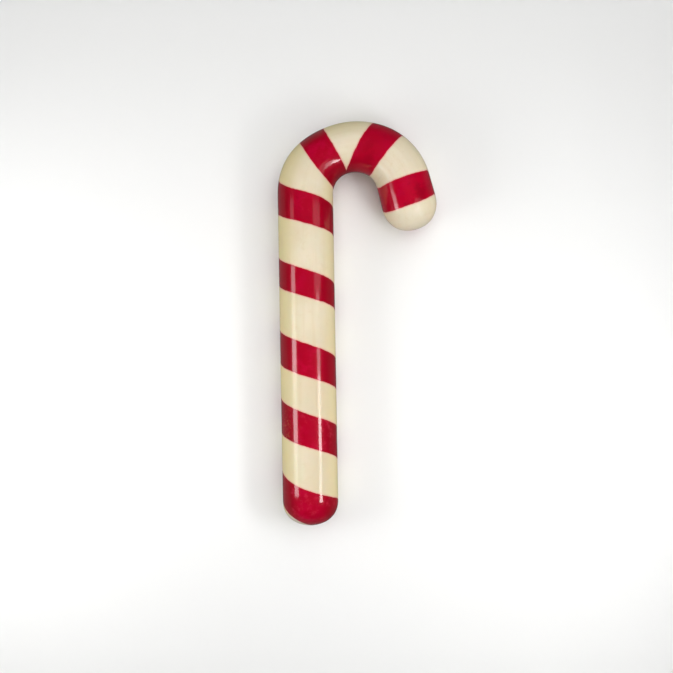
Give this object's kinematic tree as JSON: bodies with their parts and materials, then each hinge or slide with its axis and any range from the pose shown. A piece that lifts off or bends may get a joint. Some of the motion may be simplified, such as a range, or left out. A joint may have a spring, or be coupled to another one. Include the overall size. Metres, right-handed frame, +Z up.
{
  "type": "candy cane",
  "caption": "Thick hooked candy cane in cream with deep red spiral stripes, round-ended and glossy, lying flat.",
  "frame": {"origin": "bottom centre of the cane's box, on the surface that it lies on", "axes": "+Y along the stem towards the hook, +X towards the side that the hook opens on, +Z up, out of the shown side"},
  "size_m": [0.059, 0.15, 0.0204],
  "materials": {
    "striped_candy": "cream candy with deep red stripes, glossy"
  },
  "bodies": {
    "root": {"cane": "striped_candy"}
  },
  "joints": []
}
